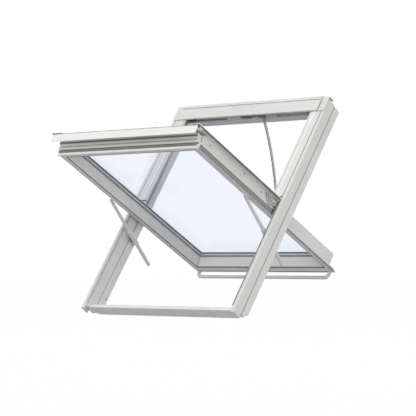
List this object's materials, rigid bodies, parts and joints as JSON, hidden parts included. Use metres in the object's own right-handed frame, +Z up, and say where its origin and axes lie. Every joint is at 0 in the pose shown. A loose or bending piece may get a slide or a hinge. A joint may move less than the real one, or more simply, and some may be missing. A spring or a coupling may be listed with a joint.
{
  "type": "centre pivot window",
  "caption": "Roof window in a sloped frame, its glazed sash turned wide open on middle hinges, with sheet covers, gas dampers, an opening chain and a control bar.",
  "frame": {"origin": "centre of the underside of the frame's bottom rail, the face that rests in the roof opening", "axes": "+X across the window to the right seen from outside, +Z up, -Y outwards from the roof; the frame slopes 56 degrees up towards +Y"},
  "size_m": [1.14, 1.1673, 1.1951],
  "materials": {
    "white_wood": "smooth white paint",
    "white_sheet": "satin white lacquer on aluminium sheet",
    "glass": "clear float glass",
    "spacer": "dull grey",
    "seal": "matte ribbed",
    "gasket": "matte",
    "hinge_steel": "zinc plated",
    "damper_steel": "satin light grey",
    "chain_steel": "plain steel",
    "operator_plastic": "moulded light grey",
    "bar_metal": "satin"
  },
  "bodies": {
    "root": {"bottom_frame_cover": "white_sheet", "chain": "chain_steel", "chain_bracket": "hinge_steel", "control_bar": "bar_metal", "control_bar_brackets": "bar_metal", "damper_studs": "hinge_steel", "frame_bottom_rail": "white_wood", "frame_left_stile": "white_wood", "frame_right_stile": "white_wood", "frame_seal": "seal", "frame_top_rail": "white_wood", "glazing_gasket": "gasket", "glazing_spacer": "spacer", "inner_pane": "glass", "left_damper_bracket": "hinge_steel", "left_damper_rod": "damper_steel", "left_damper_tube": "damper_steel", "left_frame_hinge": "hinge_steel", "left_hood_cap": "white_sheet", "left_sash_hinge": "hinge_steel", "left_side_cladding": "white_sheet", "left_side_seal": "seal", "lower_left_cover": "white_sheet", "lower_right_cover": "white_sheet", "operator_cover_plates": "operator_plastic", "operator_housing": "operator_plastic", "outer_pane": "glass", "right_damper_bracket": "hinge_steel", "right_damper_rod": "damper_steel", "right_damper_tube": "damper_steel", "right_frame_hinge": "hinge_steel", "right_hood_cap": "white_sheet", "right_sash_hinge": "hinge_steel", "right_side_cladding": "white_sheet", "right_side_seal": "seal", "sash_bottom_cover": "white_sheet", "sash_bottom_rail": "white_wood", "sash_foot_seal": "seal", "sash_left_stile": "white_wood", "sash_right_stile": "white_wood", "sash_top_rail": "white_wood", "sash_upper_cladding": "white_sheet", "top_hood": "white_sheet", "top_latch": "operator_plastic", "upper_left_cover": "white_sheet", "upper_right_cover": "white_sheet"}
  },
  "joints": []
}
